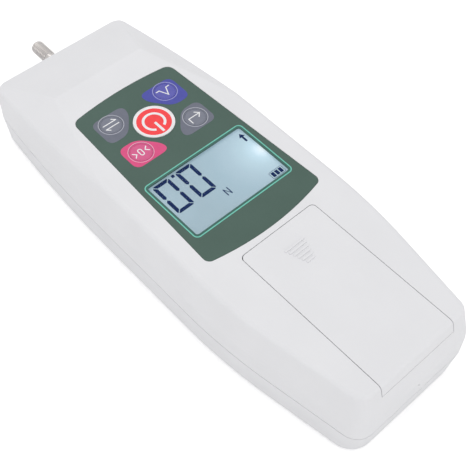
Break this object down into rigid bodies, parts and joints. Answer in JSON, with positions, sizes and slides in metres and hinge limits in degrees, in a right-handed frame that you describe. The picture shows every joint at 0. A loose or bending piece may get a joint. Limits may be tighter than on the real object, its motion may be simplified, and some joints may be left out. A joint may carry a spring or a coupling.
{
  "type": "digital push-pull force gauge",
  "caption": "Handheld digital push-pull force gauge: two-part moulded case, sliding battery door, display, round keys, and a threaded sensing stud.",
  "frame": {"origin": "on the resting face, under the middle of the case", "axes": "+Y along the measuring axis towards the stud's tip, +Z out of the display side, +X to the right"},
  "size_m": [0.076, 0.2224, 0.0378],
  "materials": {
    "case_plastic": "fine moulded texture, near white",
    "overlay_film": "printed film, dark green, satin",
    "window_pane": "clear acrylic, polished",
    "lcd_glass": "blue-grey display glass",
    "backlight": "white diffuser",
    "frame_plastic": "black moulded",
    "key_red": "printed film, red with a white rim",
    "key_blue": "printed film, blue",
    "key_pink": "printed film, pink",
    "key_grey": "printed film, grey",
    "board": "green solder mask",
    "chip": "black moulded packages",
    "steel": "zinc plated or stainless steel",
    "shaft_steel": "turned stainless steel",
    "alloy": "machined and anodised",
    "gauge_foil": "foil on a film backing",
    "contact": "nickel plated spring strip",
    "insert_brass": "knurled brass",
    "holder_plastic": "black moulded",
    "cell_jacket": "printed jacket"
  },
  "bodies": {
    "case": {"upper_case": "case_plastic", "lower_case": "case_plastic", "keypad_overlay": "overlay_film", "display_window": "window_pane", "lcd_glass": "lcd_glass", "lcd_backlight": "backlight", "display_frame": "frame_plastic", "display_pins": "contact", "main_board": "board", "board_components": "chip", "board_screws": "steel", "power_dome": "contact", "unit_dome": "contact", "peak_dome": "contact", "zero_dome": "contact", "set_dome": "contact", "case_screws": "steel", "mount_inserts": "insert_brass", "chassis": "steel", "chassis_screws": "steel", "load_cell": "alloy", "strain_gauges": "gauge_foil", "load_cell_bolt": "steel", "battery_holder": "holder_plastic", "battery_cells": "cell_jacket", "battery_springs": "contact", "battery_plates": "contact"},
    "shaft": {"sensing_shaft": "shaft_steel", "lock_nut": "steel", "stop_nut": "steel"},
    "door": {"battery_door": "case_plastic"},
    "power_button": {"power_key": "key_red"},
    "unit_button": {"unit_key": "key_grey"},
    "peak_button": {"peak_key": "key_blue"},
    "zero_button": {"zero_key": "key_pink"},
    "set_button": {"set_key": "key_grey"}
  },
  "joints": [
    {"name": "shaft_load", "type": "slide", "parent": "case", "child": "shaft", "axis": [0, 1, 0], "range_m": [-0.0003, 0.0003], "stiffness_N_per_m": 2000000, "deforming": ["load_cell", "strain_gauges"]},
    {"name": "door_slide", "type": "slide", "parent": "case", "child": "door", "axis": [0, -1, 0], "range_m": [0, 0.075]},
    {"name": "power_press", "type": "slide", "parent": "case", "child": "power_button", "axis": [0, 0, -1], "range_m": [0, 0.0003], "stiffness_N_per_m": 6000, "deforming": ["power_dome"]},
    {"name": "unit_press", "type": "slide", "parent": "case", "child": "unit_button", "axis": [0, 0, -1], "range_m": [0, 0.0003], "stiffness_N_per_m": 6000, "deforming": ["unit_dome"]},
    {"name": "peak_press", "type": "slide", "parent": "case", "child": "peak_button", "axis": [0, 0, -1], "range_m": [0, 0.0003], "stiffness_N_per_m": 6000, "deforming": ["peak_dome"]},
    {"name": "zero_press", "type": "slide", "parent": "case", "child": "zero_button", "axis": [0, 0, -1], "range_m": [0, 0.0003], "stiffness_N_per_m": 6000, "deforming": ["zero_dome"]},
    {"name": "set_press", "type": "slide", "parent": "case", "child": "set_button", "axis": [0, 0, -1], "range_m": [0, 0.0003], "stiffness_N_per_m": 6000, "deforming": ["set_dome"]}
  ]
}
